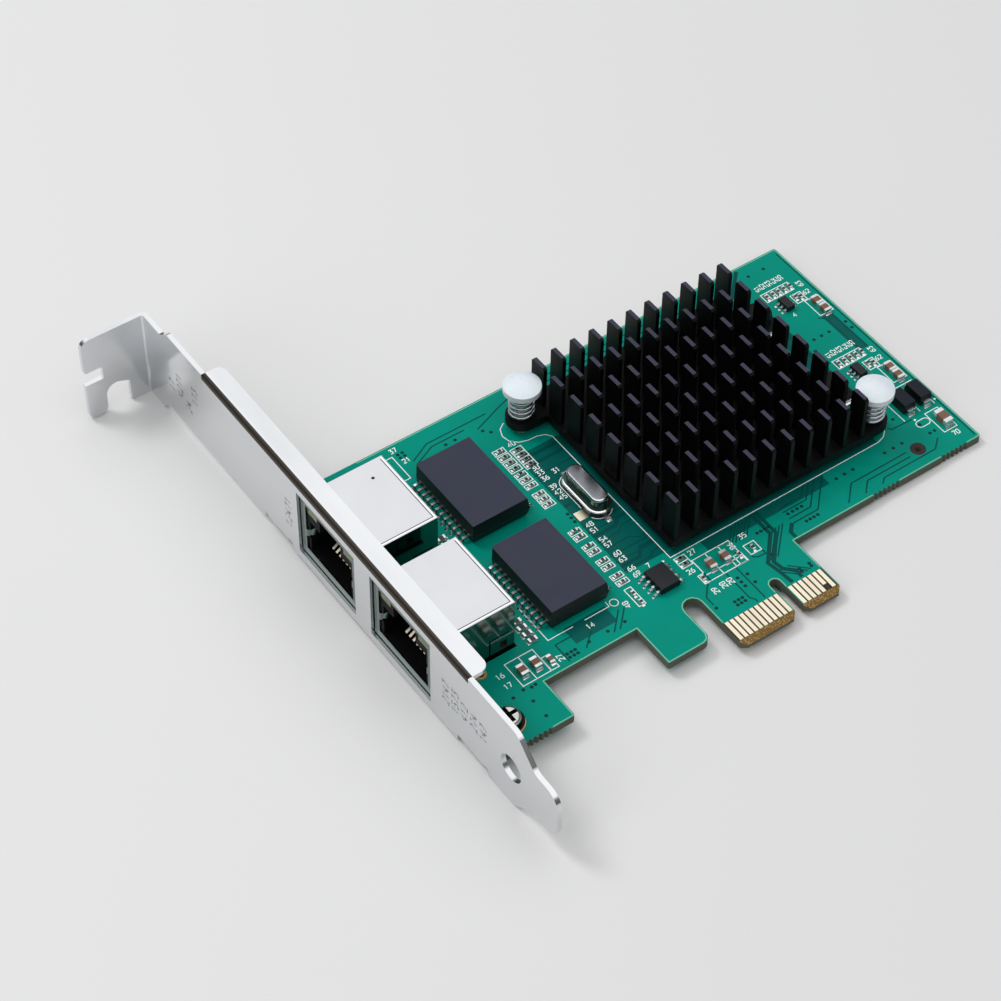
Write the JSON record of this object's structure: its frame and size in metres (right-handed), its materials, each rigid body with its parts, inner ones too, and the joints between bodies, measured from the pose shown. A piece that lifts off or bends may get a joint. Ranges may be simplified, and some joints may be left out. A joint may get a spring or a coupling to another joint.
{
  "type": "network interface card",
  "caption": "Network interface card: green board with edge contacts, sunk network jacks, black cross-cut heatsink on push pins, and a full-height steel slot bracket.",
  "frame": {"origin": "middle of the key notch, at the lower edge of the contact tongue, on the board's component-side surface", "axes": "+X along the board away from the slot bracket, +Y from the contact tongue up towards the bracket's ear, +Z out of the component side"},
  "size_m": [0.1191, 0.1201, 0.0206],
  "materials": {
    "solder_mask_board": "green solder mask, semi-gloss",
    "gold_contact": "gold plating, satin",
    "tinned_copper_ring": "gold-plated copper, satin",
    "nickel_steel_sheet": "nickel-plated, satin",
    "nickel_screw": "nickel-plated, bright",
    "jack_shell": "nickel-plated, bright satin",
    "black_moulding": "moulded, matte",
    "light_window": "translucent yellow-green, unlit",
    "jack_contact": "gold-flashed wire, bright",
    "dark_package": "moulded epoxy, matte",
    "tinned_lead": "tin-plated, satin",
    "solder": "solder alloy, satin",
    "chip_substrate": "laminate, matte",
    "grey_pad": "silicone pad, matte",
    "black_anodised": "black anodised, matte",
    "white_nylon": "moulded nylon, satin",
    "spring_wire": "plated spring wire, bright",
    "crystal_can": "drawn can, satin",
    "dark_insulator": "glass seal and base, matte",
    "ferrite": "ferrite, matte",
    "resistor_black": "glazed ceramic, semi-gloss",
    "ceramic_tan": "fired ceramic, matte"
  },
  "bodies": {
    "root": {"bracket_screws": "nickel_screw", "capacitor_bodies": "ceramic_tan", "capacitor_end_caps": "tinned_lead", "circuit_board": "solder_mask_board", "controller_cap": "dark_package", "controller_solder_balls": "solder", "controller_substrate": "chip_substrate", "converter_chips": "dark_package", "converter_leads": "tinned_lead", "crystal_base": "dark_insulator", "crystal_can": "crystal_can", "crystal_leads": "tinned_lead", "diode_terminals": "tinned_lead", "edge_contacts_back": "gold_contact", "edge_contacts_front": "gold_contact", "heatsink": "black_anodised", "hole_rings": "tinned_copper_ring", "inductor_terminals": "tinned_lead", "inductors": "ferrite", "io_bracket": "nickel_steel_sheet", "jack_lower_contacts": "jack_contact", "jack_lower_housing": "black_moulding", "jack_lower_lights": "light_window", "jack_lower_shield": "jack_shell", "jack_upper_contacts": "jack_contact", "jack_upper_housing": "black_moulding", "jack_upper_lights": "light_window", "jack_upper_shield": "jack_shell", "magnetics_lower_case": "dark_package", "magnetics_lower_leads": "tinned_lead", "magnetics_upper_case": "dark_package", "magnetics_upper_leads": "tinned_lead", "memory_chip": "dark_package", "memory_leads": "tinned_lead", "power_diodes": "dark_package", "push_pin_left": "white_nylon", "push_pin_right": "white_nylon", "push_spring_left": "spring_wire", "push_spring_right": "spring_wire", "resistor_bodies": "resistor_black", "resistor_end_caps": "tinned_lead", "thermal_pad": "grey_pad"}
  },
  "joints": []
}
